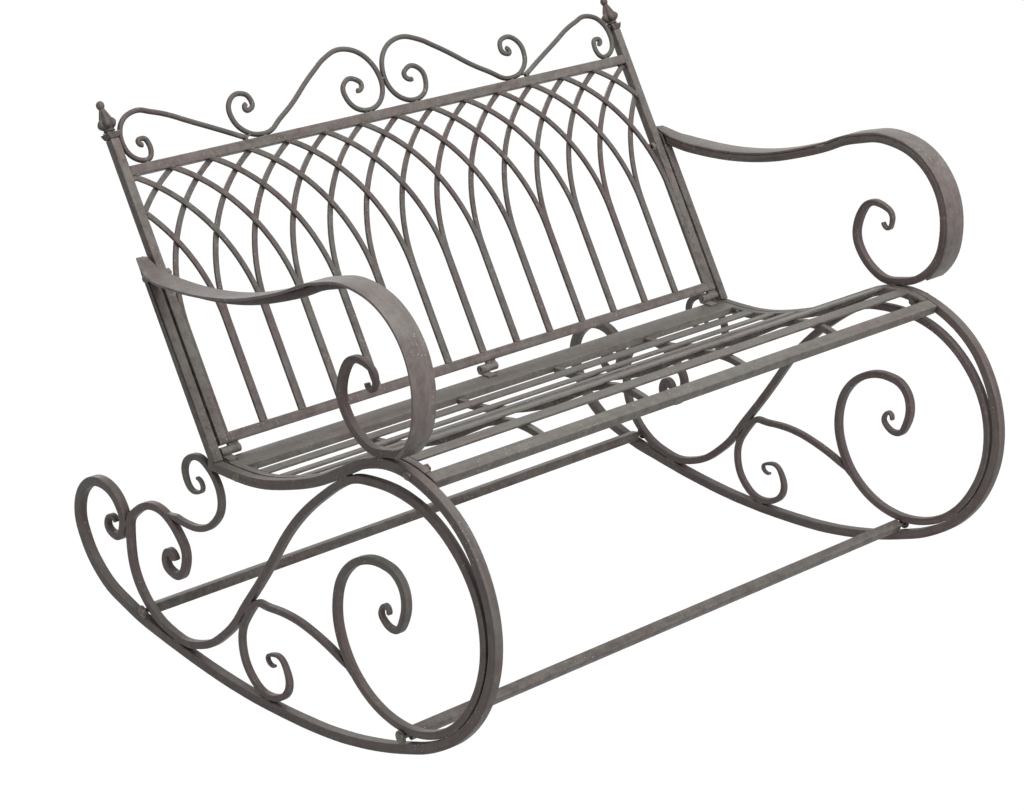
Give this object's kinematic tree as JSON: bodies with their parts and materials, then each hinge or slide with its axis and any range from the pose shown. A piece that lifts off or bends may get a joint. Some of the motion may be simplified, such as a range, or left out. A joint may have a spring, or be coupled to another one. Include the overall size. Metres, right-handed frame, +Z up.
{
  "type": "rocking bench",
  "caption": "Two-seat steel garden rocking bench: scrolled side frames on rockers, curved slatted seat, and a lattice back with scrolled crest and finials that folds forward.",
  "frame": {"origin": "on the floor, centred below the box round the bench", "axes": "+X along the bench, to the right as seen from the front, +Y to the back, +Z up"},
  "size_m": [1.128, 0.9306, 0.8232],
  "materials": {
    "frame_paint": "satin antique brown with a brushed grey-green patina",
    "hardware": "dark satin"
  },
  "bodies": {
    "base": {"arm_bar_left": "frame_paint", "arm_bar_right": "frame_paint", "arm_strap_left": "frame_paint", "arm_strap_right": "frame_paint", "back_lock_bolts": "hardware", "back_post_left": "frame_paint", "back_post_right": "frame_paint", "front_stretcher": "frame_paint", "hinge_pins": "hardware", "hinge_seat_knuckles": "frame_paint", "main_scroll_left": "frame_paint", "main_scroll_right": "frame_paint", "mid_scroll_left": "frame_paint", "mid_scroll_right": "frame_paint", "rear_scroll_left": "frame_paint", "rear_scroll_right": "frame_paint", "rear_stretcher": "frame_paint", "rocker_left": "frame_paint", "rocker_right": "frame_paint", "seat_bolts": "hardware", "seat_front_rail": "frame_paint", "seat_nuts": "hardware", "seat_rear_rail": "frame_paint", "seat_side_rail_left": "frame_paint", "seat_side_rail_right": "frame_paint", "seat_slat_1": "frame_paint", "seat_slat_2": "frame_paint", "seat_slat_3": "frame_paint", "seat_slat_4": "frame_paint", "seat_slat_5": "frame_paint", "seat_slat_6": "frame_paint", "seat_slat_7": "frame_paint", "seat_slat_8": "frame_paint", "seat_support_1": "frame_paint", "seat_support_2": "frame_paint", "seat_support_3": "frame_paint", "seat_support_4": "frame_paint", "stretcher_bolts": "hardware", "stretcher_washers": "hardware"},
    "backrest": {"back_bottom_rail": "frame_paint", "back_lock_nuts": "hardware", "back_top_rail": "frame_paint", "back_upright_left": "frame_paint", "back_upright_right": "frame_paint", "crest_inner_left": "frame_paint", "crest_inner_right": "frame_paint", "crest_outer_left": "frame_paint", "crest_outer_right": "frame_paint", "finial_left": "frame_paint", "finial_right": "frame_paint", "hinge_back_knuckles": "frame_paint", "lattice_front_layer": "frame_paint", "lattice_rear_layer": "frame_paint"}
  },
  "joints": [
    {"name": "backrest_fold", "type": "hinge", "parent": "base", "child": "backrest", "pos_m": [0, 0.11999, 0.35803], "axis": [1, 0, 0], "range_deg": [0, 100]}
  ]
}
